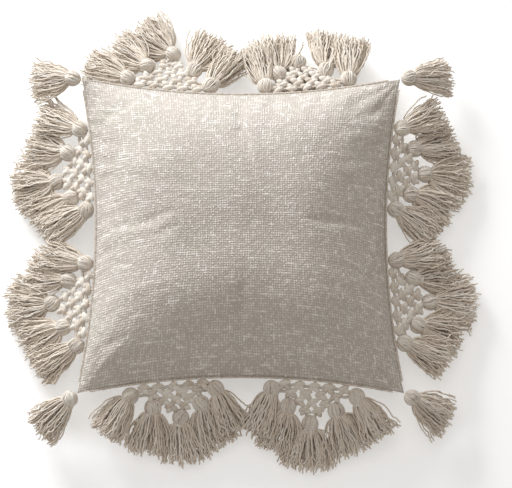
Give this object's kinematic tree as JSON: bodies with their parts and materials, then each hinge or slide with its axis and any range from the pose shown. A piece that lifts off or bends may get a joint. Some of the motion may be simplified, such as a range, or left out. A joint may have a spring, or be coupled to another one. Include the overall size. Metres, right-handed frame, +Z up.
{
  "type": "throw pillow",
  "caption": "Square stuffed throw pillow with a slub cloth cover, crocheted net scallops, wound balls and tassels.",
  "frame": {"origin": "centre of the flat patch that the back cover rests on", "axes": "+Z up through the front cover, +Y towards the top edge, +X to the right seen from the front"},
  "size_m": [0.6296, 0.6291, 0.14],
  "materials": {
    "slub_cloth": "coarse slub weave, matte",
    "net_cord": "soft twisted cord",
    "ball_yarn": "wound soft yarn",
    "tassel_yarn": "crimped loose yarn",
    "ticking": "plain tight weave",
    "filling": "soft fibre",
    "zip_tape": "woven tape",
    "zip_plastic": "moulded teeth",
    "zip_metal": "satin enamel"
  },
  "bodies": {
    "root": {"back_cover_lower": "slub_cloth", "back_cover_upper": "slub_cloth", "front_cover": "slub_cloth", "heading_bottom": "net_cord", "heading_left": "net_cord", "heading_right": "net_cord", "heading_top": "net_cord", "insert_back_ticking": "ticking", "insert_filling": "filling", "insert_front_ticking": "ticking", "zip_end_stops": "zip_metal", "zip_tape_lower": "zip_tape", "zip_tape_upper": "zip_tape", "zip_teeth_lower": "zip_plastic", "zip_teeth_upper": "zip_plastic"},
    "scallop_right_upper": {"net_right_upper": "net_cord", "balls_right_upper": "ball_yarn", "tassels_right_upper": "tassel_yarn"},
    "scallop_right_lower": {"net_right_lower": "net_cord", "balls_right_lower": "ball_yarn", "tassels_right_lower": "tassel_yarn"},
    "scallop_top_left": {"net_top_left": "net_cord", "balls_top_left": "ball_yarn", "tassels_top_left": "tassel_yarn"},
    "scallop_top_right": {"net_top_right": "net_cord", "balls_top_right": "ball_yarn", "tassels_top_right": "tassel_yarn"},
    "scallop_left_upper": {"net_left_upper": "net_cord", "balls_left_upper": "ball_yarn", "tassels_left_upper": "tassel_yarn"},
    "scallop_left_lower": {"net_left_lower": "net_cord", "balls_left_lower": "ball_yarn", "tassels_left_lower": "tassel_yarn"},
    "scallop_bottom_left": {"net_bottom_left": "net_cord", "balls_bottom_left": "ball_yarn", "tassels_bottom_left": "tassel_yarn"},
    "scallop_bottom_right": {"net_bottom_right": "net_cord", "balls_bottom_right": "ball_yarn", "tassels_bottom_right": "tassel_yarn"},
    "corner_top_left": {"corner_ball_top_left": "ball_yarn", "corner_tassel_top_left": "tassel_yarn"},
    "corner_top_right": {"corner_ball_top_right": "ball_yarn", "corner_tassel_top_right": "tassel_yarn"},
    "corner_bottom_left": {"corner_ball_bottom_left": "ball_yarn", "corner_tassel_bottom_left": "tassel_yarn"},
    "corner_bottom_right": {"corner_ball_bottom_right": "ball_yarn", "corner_tassel_bottom_right": "tassel_yarn"},
    "zip_slider": {"zip_slider": "zip_metal"},
    "zip_pull": {"zip_pull": "zip_metal"}
  },
  "joints": [
    {"name": "fold_right_upper", "type": "hinge", "parent": "root", "child": "scallop_right_upper", "pos_m": [0.19517, 0.09267, 0.052], "axis": [-0.0895, -0.996, 0], "range_deg": [0, 90]},
    {"name": "fold_right_lower", "type": "hinge", "parent": "root", "child": "scallop_right_lower", "pos_m": [0.19499, -0.09067, 0.052], "axis": [0.0876, -0.9962, 0], "range_deg": [0, 90]},
    {"name": "fold_top_left", "type": "hinge", "parent": "root", "child": "scallop_top_left", "pos_m": [-0.09867, 0.19572, 0.052], "axis": [0.9955, -0.0953, 0], "range_deg": [0, 90]},
    {"name": "fold_top_right", "type": "hinge", "parent": "root", "child": "scallop_top_right", "pos_m": [0.08967, 0.1949, 0.052], "axis": [0.9962, 0.0866, 0], "range_deg": [0, 90]},
    {"name": "fold_left_upper", "type": "hinge", "parent": "root", "child": "scallop_left_upper", "pos_m": [-0.19507, 0.09167, 0.052], "axis": [-0.0886, 0.9961, 0], "range_deg": [0, 90]},
    {"name": "fold_left_lower", "type": "hinge", "parent": "root", "child": "scallop_left_lower", "pos_m": [-0.19535, -0.09467, 0.052], "axis": [0.0914, 0.9958, 0], "range_deg": [0, 90]},
    {"name": "fold_bottom_left", "type": "hinge", "parent": "root", "child": "scallop_bottom_left", "pos_m": [-0.08967, -0.1949, 0.052], "axis": [-0.9962, -0.0866, 0], "range_deg": [0, 90]},
    {"name": "fold_bottom_right", "type": "hinge", "parent": "root", "child": "scallop_bottom_right", "pos_m": [0.09767, -0.19563, 0.052], "axis": [-0.9955, 0.0943, 0], "range_deg": [0, 90]},
    {"name": "swing_corner_top_left", "type": "hinge", "parent": "root", "child": "corner_top_left", "pos_m": [-0.213, 0.213, 0.052], "axis": [0.0698, 0.9976, 0], "range_deg": [0, 90]},
    {"name": "swing_corner_top_right", "type": "hinge", "parent": "root", "child": "corner_top_right", "pos_m": [0.213, 0.213, 0.052], "axis": [0.1392, -0.9903, 0], "range_deg": [0, 90]},
    {"name": "swing_corner_bottom_left", "type": "hinge", "parent": "root", "child": "corner_bottom_left", "pos_m": [-0.213, -0.213, 0.052], "axis": [-0.6428, 0.766, 0], "range_deg": [0, 90]},
    {"name": "swing_corner_bottom_right", "type": "hinge", "parent": "root", "child": "corner_bottom_right", "pos_m": [0.213, -0.213, 0.052], "axis": [-0.5, -0.866, 0], "range_deg": [0, 90]},
    {"name": "zip_open", "type": "slide", "parent": "root", "child": "zip_slider", "axis": [1, 0, 0], "range_m": [0, 0.25]},
    {"name": "pull_swing", "type": "hinge", "parent": "zip_slider", "child": "zip_pull", "pos_m": [-0.1255, -0.1594, 0.01925], "axis": [0, 0.9063, -0.4226], "range_deg": [0, 175]}
  ]
}
